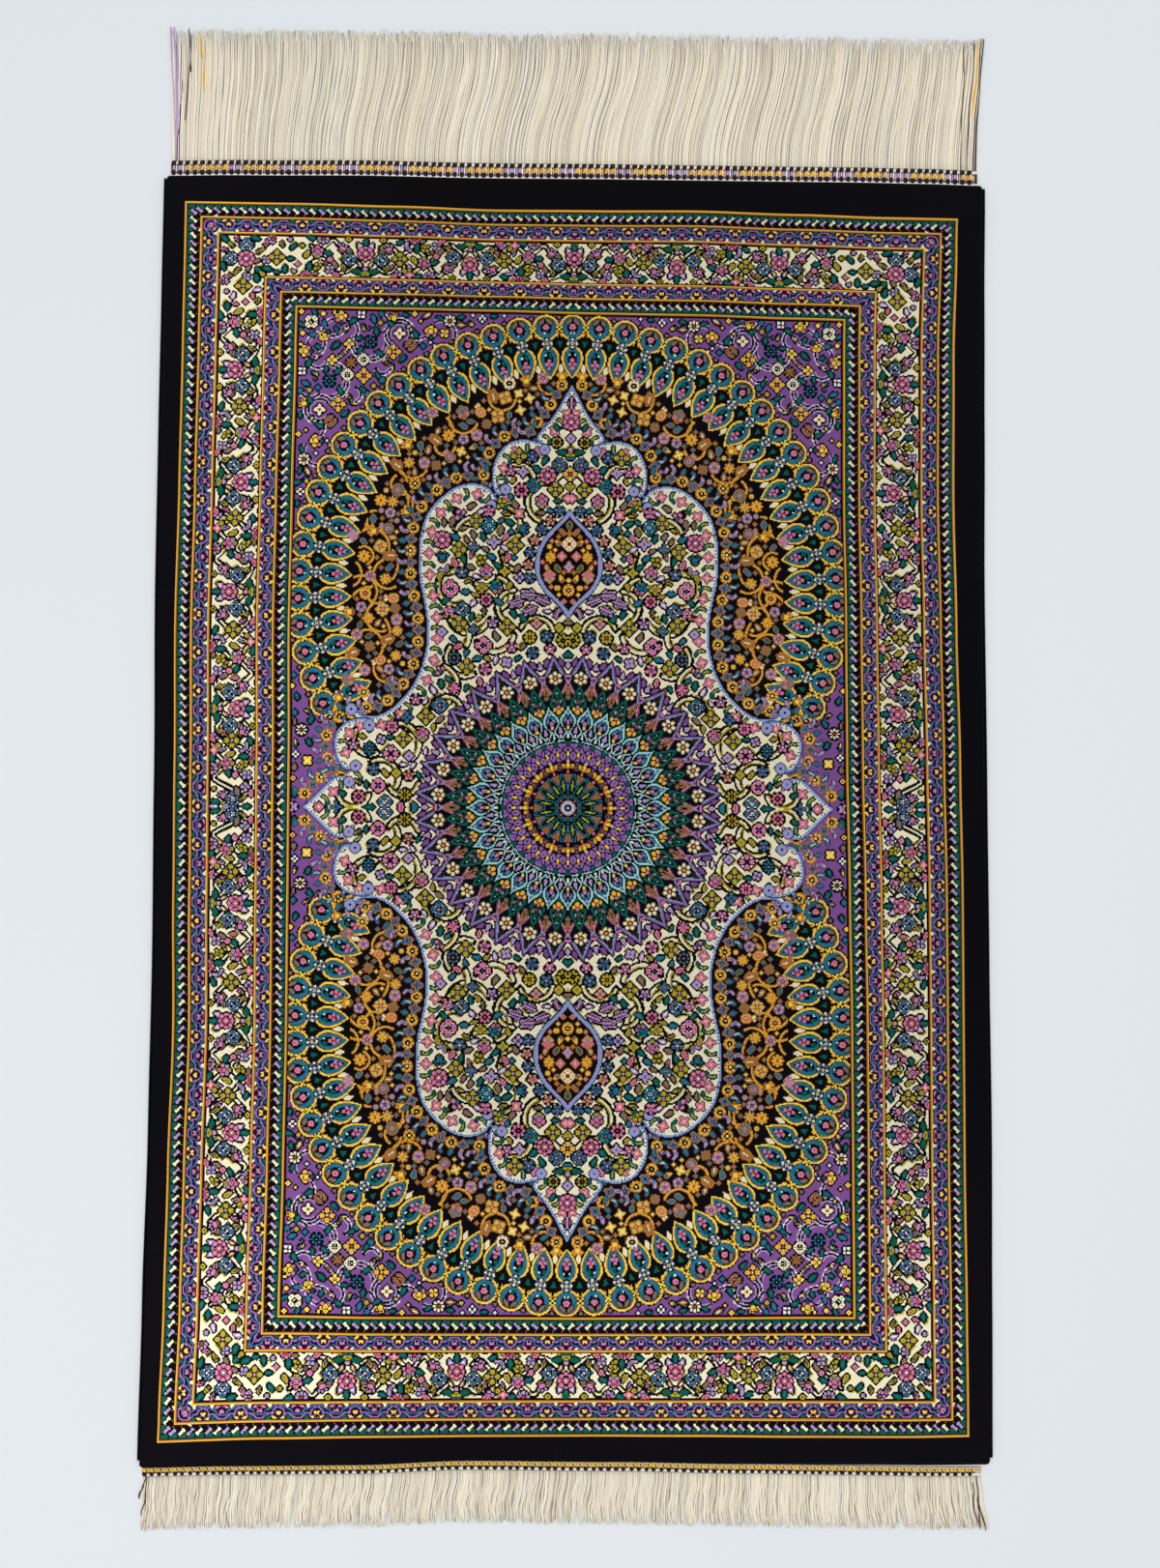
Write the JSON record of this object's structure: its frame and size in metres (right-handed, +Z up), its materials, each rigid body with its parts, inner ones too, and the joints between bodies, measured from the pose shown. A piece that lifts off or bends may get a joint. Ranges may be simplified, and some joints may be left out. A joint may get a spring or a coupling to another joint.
{
  "type": "persian rug",
  "caption": "Fine hand-knotted silk medallion rug lying flat, with overcast sides, wrapped end bands and loose warp fringes.",
  "frame": {"origin": "middle of the ground that the rug covers, fringes included", "axes": "+Z up from the pile, +Y along the rug towards its long fringe, +X to the right of someone facing +Y"},
  "size_m": [0.8062, 1.4392, 0.0045],
  "materials": {
    "silk_pile": "short dense cut silk pile, soft sheen",
    "selvedge_silk": "overcast silk cord, black",
    "band_yarn": "wrapped yarn in gold, lilac, white and dark brown",
    "warp_silk": "loose undyed silk warp ends, ivory"
  },
  "bodies": {
    "root": {"rug_body": "silk_pile", "selvedge_left": "selvedge_silk", "selvedge_right": "selvedge_silk", "end_band_far": "band_yarn", "end_band_near": "band_yarn", "fringe_far": "warp_silk", "fringe_near": "warp_silk"}
  },
  "joints": []
}
